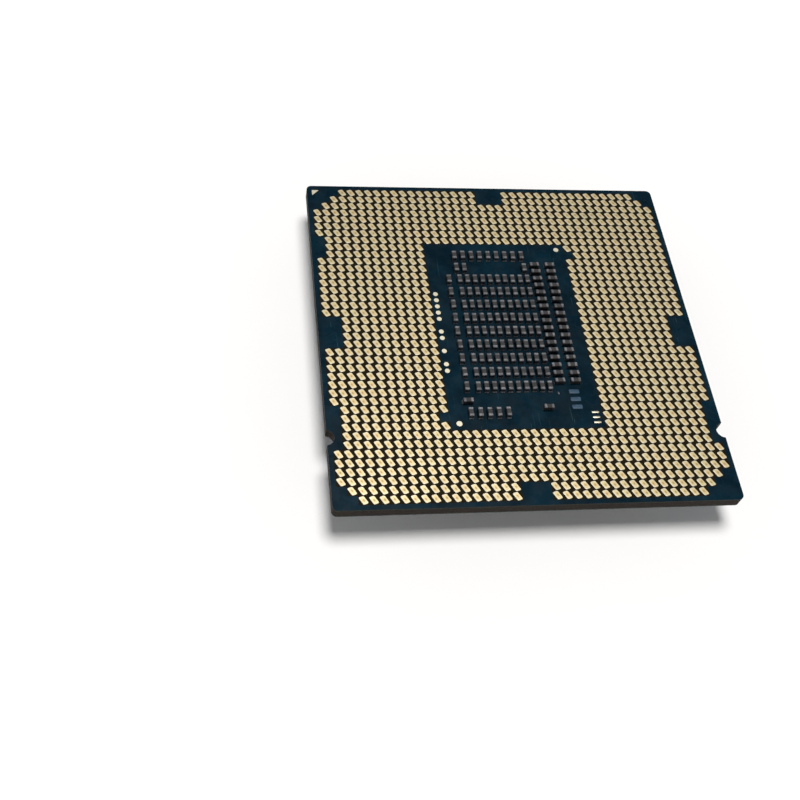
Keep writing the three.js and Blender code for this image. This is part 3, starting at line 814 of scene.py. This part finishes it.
# This grid becomes the sheet of painted shade under and between the lands.
shade_sheet = placed(bpy.context.object)
cell_of = {(round(p.x / PITCH - 0.5), round(p.y / PITCH - 0.5)) for p in all_lands}
pick(shade_sheet, "FACE", lambda p, n: (round(p.x / PITCH - 0.5), round(p.y / PITCH - 0.5)) not in cell_of)
bpy.ops.mesh.delete(type="FACE")
bpy.ops.mesh.select_all(action="SELECT")
bpy.ops.mesh.extrude_region_move(TRANSFORM_OT_translate={"value": (0, 0, SHADE_SHEET_RISE)})
finished(shade_sheet, "painted_shade_sheet", "buildup_resin", [], lands_painted_shade.material)

# %% [markdown]
# A chip capacitor is a small brick with tinned ends, soldered down at both ends. A block is
# bevelled all round, cut across twice where the tin ends, and the ring of faces between the cuts
# is drawn in a little, so that the tin stands proud of the ceramic. One is modelled, lying along Y.

# %% One capacitor
CHIP_LONG = 0.97 * MM
CHIP_WIDE = 0.47 * MM
CHIP_TALL = 0.50 * MM
CHIP_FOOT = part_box("capacitor_row_far")[0].z
CHIP_LIFT = 0.02 * MM
TIN_REACH = 0.25 * MM
TIN_PROUD = 0.012 * MM
CHIP_EDGE = 0.05 * MM
half_long = CHIP_LONG / 2
half_wide = CHIP_WIDE / 2
chip_low = (-half_wide, -half_long, CHIP_LIFT)
chip = block("chip", chip_low, (half_wide, half_long, CHIP_LIFT + CHIP_TALL))
round_off(chip, "EDGE", everything, CHIP_EDGE, 1)
tin_edge = half_long - TIN_REACH
for along in (-tin_edge, tin_edge):
    cut_across(chip, (0, along, 0), (0, 1, 0))
pick(chip, "FACE", lambda p, n: abs(p.y) < tin_edge - TOUCH)
bpy.ops.mesh.extrude_region_shrink_fatten(TRANSFORM_OT_shrink_fatten={"value": -TIN_PROUD})
bpy.ops.object.mode_set(mode="OBJECT")
chip.data.materials.append(ceramic.material)
chip.data.materials.append(tin.material)
for face in chip.data.polygons:
    face.material_index = 0 if abs(face.center.y) < tin_edge - TOUCH else 1
print("faces of one bare capacitor:", len(chip.data.polygons))

# %% [markdown]
# Molten solder climbs the tinned end and sets as a small hollow slope. Each slope starts as a
# block that reaches a little into the tin. Its outer edge is moved down nearly to the mask, and an
# edge loop across its middle is lowered a little more, which makes the slope hollow.

# %% Solder at its ends
FILLET_OUT = 0.07 * MM
FILLET_UP = 0.20 * MM
FILLET_IN = 0.04 * MM
FILLET_TOE = 0.02 * MM
FILLET_BEND = 0.03 * MM
FILLET_SAG = 0.05 * MM
FILLET_NARROW = 0.92
fillet_half = half_wide * FILLET_NARROW
wedges = []
for end in (-1, 1):
    reach = sorted((end * (half_long - FILLET_IN), end * (half_long + FILLET_OUT)))
    bend = end * (half_long + FILLET_BEND)
    wedge = block("wedge", (-fillet_half, reach[0], 0), (fillet_half, reach[1], FILLET_UP))
    pick(wedge, "VERT", lambda p, n: p.y * end > half_long and p.z > TOUCH)
    bpy.ops.transform.translate(value=(0, 0, FILLET_TOE - FILLET_UP))
    cut_across(wedge, (0, bend, 0), (0, 1, 0))
    pick(wedge, "VERT", lambda p, n: abs(p.y - bend) < TOUCH and p.z > FILLET_TOE)
    bpy.ops.transform.translate(value=(0, 0, -FILLET_SAG))
    bpy.ops.object.mode_set(mode="OBJECT")
    wedge.data.materials.append(tin.material)
    wedges.append(wedge)
chip = joined([chip, *wedges])
print("faces of one capacitor:", len(chip.data.polygons))

# %% [markdown]
# The places come from the CAD rows and columns. Their top corners are read and paired, so that
# each pair gives one capacitor. Each copy is turned by a hair and moved by a hair, with a fixed
# seed, because no placing machine is perfect.

# %% All capacitors
dice = random.Random(7)
TURN_SPREAD = math.radians(1.6)
PLACE_SPREAD = 0.018 * MM


def pairs(values):
    """Groups sorted numbers that are close, and pairs the groups."""
    groups = []
    for value in sorted(values):
        if not groups or value - groups[-1] > 10 * TOUCH:
            groups.append(value)
    return list(zip(groups[::2], groups[1::2]))


def capacitor_places(name):
    """The middle of each capacitor of a CAD row or column, and whether it lies along X."""
    mesh = nodes[name].data
    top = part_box(name)[1].z - TOUCH
    corners = [v.co for v in mesh.vertices if v.co.z > top]
    in_column = name.startswith(("capacitor_column", "capacitor_lying"))
    axis = 1 if in_column else 0
    found = []
    for start, end in pairs({c[axis] for c in corners}):
        own = [c for c in corners if start - TOUCH < c[axis] < end + TOUCH]
        x = (min(c.x for c in own) + max(c.x for c in own)) / 2
        y = (min(c.y for c in own) + max(c.y for c in own)) / 2
        found.append(Vector((x, y, CHIP_FOOT)))
    return found, in_column


chip_count = 0
for name in sorted(n for n in nodes if n.startswith("capacitor_")):
    places, in_column = capacitor_places(name)
    copies = []
    for place in places:
        nudge_xy = Vector((dice.uniform(-1, 1), dice.uniform(-1, 1), 0)) * PLACE_SPREAD
        turn = dice.uniform(-1, 1) * TURN_SPREAD + (math.pi / 2 if in_column else 0)
        copies.append(copy_to(chip, place + nudge_xy, turn))
    finished(joined(copies), name.replace("capacitor", "chips"), "capacitor_ceramic", [name])
    chip_count += len(places)
thrown_away(chip)
print("capacitors:", chip_count)

# %% [markdown]
# The round marks and test pads are flat discs with a soft rim. A cylinder is added at each place,
# and the edge of its outer face is bevelled.

# %% Round pads
MARK_SIDES = 32


def round_pad(place, radius, thickness, sides, up):
    """A disc on the mask, its outer rim rounded; up is +1 on the land side and -1 on the other."""
    bpy.ops.object.select_all(action="DESELECT")
    middle = Vector(place) + Vector((0, 0, up * thickness / 2))
    bpy.ops.mesh.primitive_cylinder_add(vertices=sides, radius=radius, depth=thickness, location=middle)
    pad = placed(bpy.context.object)
    face = middle.z + up * thickness / 2
    round_off(pad, "EDGE", lambda p, d: abs(p.z - face) < TOUCH / 2, 0.4 * thickness, 1)
    return pad


def pad_from_box(name, new_name, up):
    """A round pad that fills the box of a CAD pad."""
    low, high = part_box(name)
    middle = (low + high) / 2
    foot = low.z if up > 0 else high.z
    pad = round_pad((middle.x, middle.y, foot), (high.x - low.x) / 2, high.z - low.z, MARK_SIDES, up)
    return finished(pad, new_name, "land_gold", [name], pad_gold.material)


pad_from_box("fiducial_far_right", "round_mark_far_right", 1)
pad_from_box("fiducial_near_left", "round_mark_near_left", 1)
pad_from_box("fiducial_lid_side", "round_mark_lid_side", -1)

# %% [markdown]
# Between the left field and the window stands a column of ten test pads. They keep one step, but
# some steps are left out. One pad is modelled and copied, from the far end of the CAD column on.

# %% Test pads beside the left field
TEST_PAD_SIDES = 20
TEST_PAD_STEP = 0.757 * MM
MISSING_STEPS = (5, 8, 10)
pads_low, pads_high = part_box("test_pads_land_side")
pad_radius = (pads_high.x - pads_low.x) / 2
pad_x = (pads_low.x + pads_high.x) / 2
step_count = round((pads_high.y - pads_low.y - 2 * pad_radius) / TEST_PAD_STEP) + 1
test_pad = round_pad((0, 0, pads_low.z), pad_radius, pads_high.z - pads_low.z, TEST_PAD_SIDES, 1)
copies = []
for step in range(step_count):
    if step not in MISSING_STEPS:
        place = Vector((pad_x, pads_high.y - pad_radius - step * TEST_PAD_STEP, 0))
        copies.append(copy_to(test_pad, place))
thrown_away(test_pad)
finished(joined(copies), "test_pads_left", "land_gold", ["test_pads_land_side"], pad_gold.material)

# %% [markdown]
# The lid side has three long rows of small test pads at one edge, and four pads in a square. All
# are the same, so one is modelled, facing down, and copied. The CAD boxes give each row its ends.

# %% Test pads on the lid side
EDGE_PAD_SIDES = 12
EDGE_PAD_STEP = 0.62 * MM
EDGE_PAD_RADIUS = 0.2 * MM
cluster_low, cluster_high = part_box("test_pad_cluster_lid_side")
cluster_thick = cluster_high.z - cluster_low.z
edge_pad = round_pad((0, 0, cluster_high.z), EDGE_PAD_RADIUS, cluster_thick, EDGE_PAD_SIDES, -1)
copies = []
for x in (cluster_low.x + EDGE_PAD_RADIUS, cluster_high.x - EDGE_PAD_RADIUS):
    for y in (cluster_low.y + EDGE_PAD_RADIUS, cluster_high.y - EDGE_PAD_RADIUS):
        copies.append(copy_to(edge_pad, Vector((x, y, 0))))
finished(joined(copies), "test_pads_four", "land_gold", ["test_pad_cluster_lid_side"], pad_gold.material)
for row in (1, 2, 3):
    node = f"test_pad_row_lid_side_{row}"
    low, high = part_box(node)
    count = int((high.x - low.x - 2 * EDGE_PAD_RADIUS) / EDGE_PAD_STEP) + 1
    first = Vector((low.x + EDGE_PAD_RADIUS, (low.y + high.y) / 2, 0))
    copies = [copy_to(edge_pad, first + Vector((i * EDGE_PAD_STEP, 0, 0))) for i in range(count)]
    finished(joined(copies), f"test_pads_row_{row}", "land_gold", [node], pad_gold.material)
thrown_away(edge_pad)

# %% [markdown]
# Three spare pads are covered by the mask. The lacquer rounds them and makes them look blue. Three
# small plated dashes stand in a row by the window's corner. Both are blocks with soft corners.

# %% Covered pads and dashes
SPARE_CORNER = 0.12 * MM
SPARE_LIP = 0.02 * MM
DASH_CORNER = 0.08 * MM
DASH_LIP = 0.012 * MM
DASH_WIDTH = 0.2 * MM


def soft_bar(low, high, corner, lip):
    """A flat bar with rounded corners and a rounded upper rim."""
    bar = block("bar", low, high)
    round_off(bar, "EDGE", upright, corner, 4)
    round_off(bar, "EDGE", lambda p, d: p.z > high[2] - TOUCH, lip, 2)
    return bar


for number in (1, 2, 3):
    node = f"covered_pad_{number}"
    low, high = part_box(node)
    bar = soft_bar(low, high, SPARE_CORNER, SPARE_LIP)
    finished(bar, f"spare_pad_{number}", "solder_mask", [node], covered)

dash_low, dash_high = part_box("alignment_dashes")
dash_step = (dash_high.y - dash_low.y - DASH_WIDTH) / 2
dashes = []
for number in range(3):
    start = Vector((dash_low.x, dash_low.y + number * dash_step, dash_low.z))
    end = Vector((dash_high.x, start.y + DASH_WIDTH, dash_high.z))
    dashes.append(soft_bar(start, end, DASH_CORNER, DASH_LIP))
finished(joined(dashes), "plated_dashes", "land_gold", ["alignment_dashes"], pad_gold.material)

# %% [markdown]
# Beside the last capacitors a tiny tinned point is left bare. It is a low drop of solder: a thin
# cylinder whose upper face is inset twice and raised.

# %% Tinned point
DROP_FOOT = Vector((3.49 * MM, -7.14 * MM, CHIP_FOOT))
DROP_RADIUS = 0.1 * MM
DROP_THICK = 0.03 * MM
DROP_STRETCH = 1.9
DROP_TURN = math.radians(14)
DROP_STEP_IN = 0.03 * MM
DROP_RISES = (0.025 * MM, 0.01 * MM)
bpy.ops.object.select_all(action="DESELECT")
bpy.ops.mesh.primitive_cylinder_add(vertices=16, radius=DROP_RADIUS, depth=DROP_THICK, location=DROP_FOOT)
drop = bpy.context.object
drop.location.z += DROP_THICK / 2
drop.scale.y = DROP_STRETCH
drop.rotation_euler.z = DROP_TURN
placed(drop)
for rise in DROP_RISES:
    top = max(v.co.z for v in drop.data.vertices)
    pick(drop, "FACE", lambda p, n: p.z > top - TOUCH and n.z > 0.9)
    bpy.ops.mesh.inset(thickness=DROP_STEP_IN, depth=rise)
    bpy.ops.object.mode_set(mode="OBJECT")
finished(drop, "tinned_point", "solder", [], tin.material, smooth=60)
